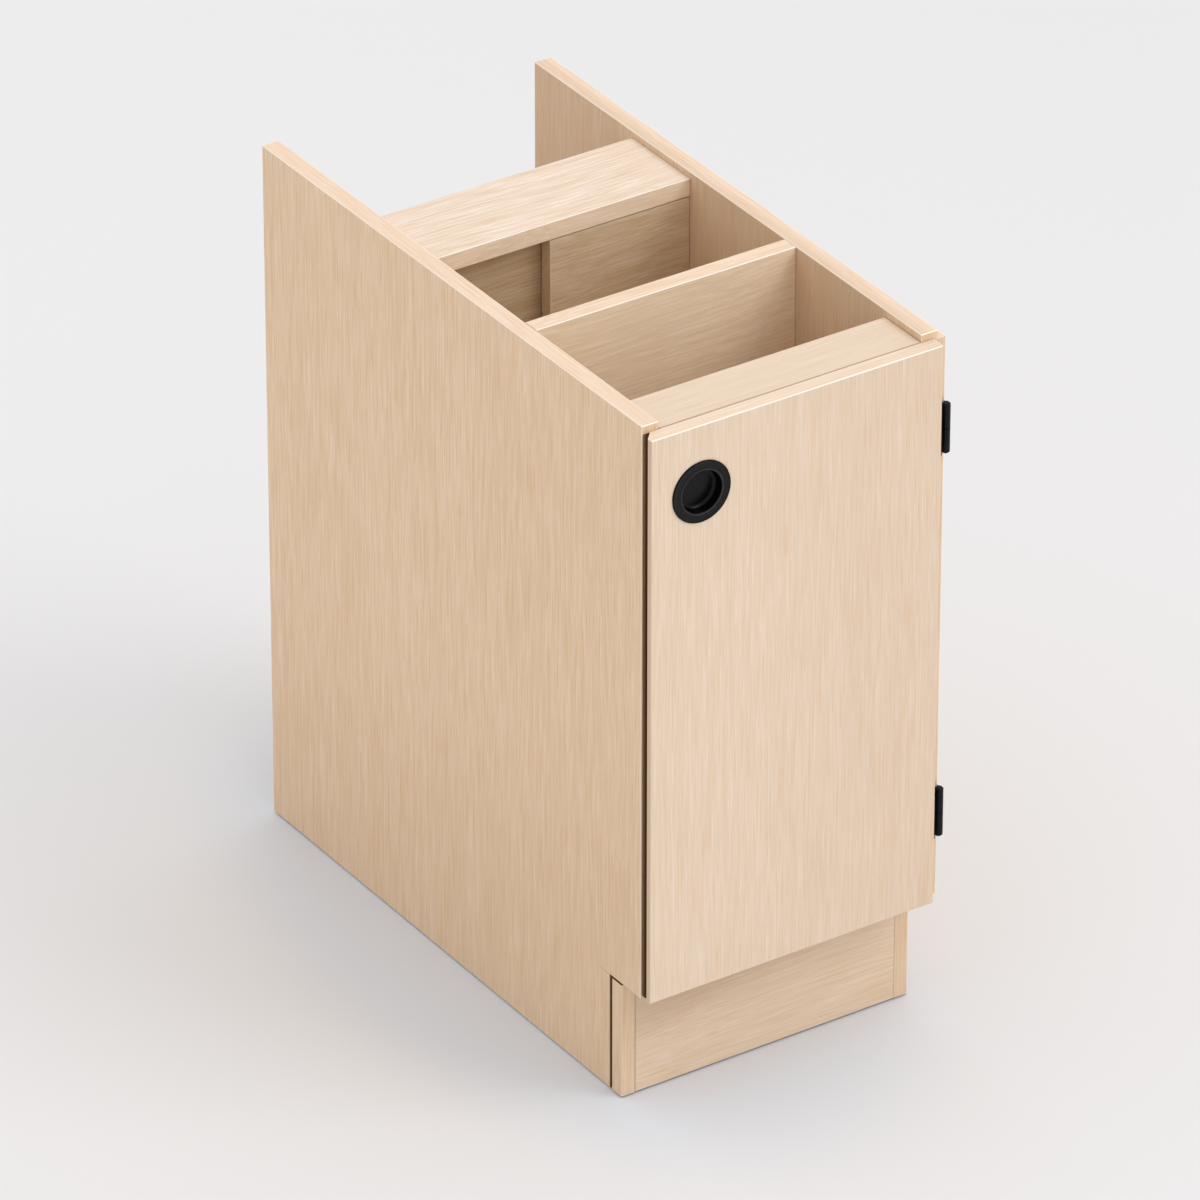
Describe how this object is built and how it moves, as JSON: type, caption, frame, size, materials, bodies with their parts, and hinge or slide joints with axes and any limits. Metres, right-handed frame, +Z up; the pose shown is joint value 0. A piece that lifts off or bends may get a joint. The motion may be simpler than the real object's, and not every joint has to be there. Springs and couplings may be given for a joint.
{
  "type": "base cabinet",
  "caption": "Open-topped kitchen base cabinet with a lift-off hinged door, flush round pull, recessed kick board, sliding back panels and a service space behind.",
  "frame": {"origin": "middle of the whole object's footprint, on the floor", "axes": "+Z up, -Y out of the door's face, +X towards the hinged side"},
  "size_m": [0.396, 0.7809, 0.87],
  "materials": {
    "side_veneer": "pale beech-like grain running upright, satin",
    "door_veneer": "pale beech-like grain running upright, satin",
    "rail_veneer": "pale beech-like grain running across, satin",
    "panel_veneer": "pale beech-like grain running across, satin",
    "kick_veneer": "pale beech-like grain running across, satin",
    "hardwood": "planed beech, unfinished",
    "black_hinge_steel": "black satin coat",
    "pin_steel": "bright drawn steel",
    "zinc_alloy": "die-cast zinc, left bare",
    "screw_steel": "bright zinc plate",
    "black_pull_plastic": "black, satin",
    "brown_nylon": "brown nylon, fine satin",
    "washer_nylon": "black nylon",
    "magnet_block": "sintered magnet, dull grey",
    "bumper_rubber": "clear soft bumper",
    "seal_rubber": "dark brown, dull",
    "glide_plastic": "dark brown, satin"
  },
  "bodies": {
    "carcass": {"left_side": "side_veneer", "right_side": "side_veneer", "left_kick_return": "side_veneer", "right_kick_return": "side_veneer", "hinge_batten": "door_veneer", "front_rail": "rail_veneer", "rear_rail": "rail_veneer", "cross_bearer": "rail_veneer", "bottom_board": "rail_veneer", "adjustable_shelf": "rail_veneer", "kick_board": "kick_veneer", "rear_plinth_rail": "kick_veneer", "kick_cleats": "hardwood", "joint_dowels": "hardwood", "lower_fixed_hinge_leaf": "black_hinge_steel", "upper_fixed_hinge_leaf": "black_hinge_steel", "fixed_leaf_screws": "black_hinge_steel", "lower_hinge_pin": "pin_steel", "upper_hinge_pin": "pin_steel", "cam_bolts": "pin_steel", "shelf_pins": "pin_steel", "cam_locks": "zinc_alloy", "batten_screws": "screw_steel", "kick_screws": "screw_steel", "cleat_screws": "screw_steel", "catch_screws": "screw_steel", "front_panel_track": "brown_nylon", "rear_panel_track": "brown_nylon", "catch_body": "brown_nylon", "knuckle_washers": "washer_nylon", "catch_magnet": "magnet_block", "closing_seal": "seal_rubber", "floor_glides": "glide_plastic"},
    "door": {"door_panel": "door_veneer", "pull_rim": "black_pull_plastic", "pull_cup": "black_pull_plastic", "lower_door_hinge_leaf": "black_hinge_steel", "upper_door_hinge_leaf": "black_hinge_steel", "door_leaf_screws": "black_hinge_steel", "catch_strike": "pin_steel", "strike_screw": "screw_steel", "door_bumpers": "bumper_rubber"},
    "right_back_panel": {"right_back_panel": "panel_veneer"},
    "left_back_panel": {"left_back_panel": "panel_veneer"}
  },
  "joints": [
    {"name": "door_hinge", "type": "hinge", "parent": "carcass", "child": "door", "pos_m": [0.193, -0.3775, 0], "axis": [0, 0, 1], "range_deg": [0, 180]},
    {"name": "right_panel_slide", "type": "slide", "parent": "carcass", "child": "right_back_panel", "axis": [1, 0, 0], "range_m": [-0.154, 0]},
    {"name": "left_panel_slide", "type": "slide", "parent": "carcass", "child": "left_back_panel", "axis": [1, 0, 0], "range_m": [0, 0.154]}
  ]
}
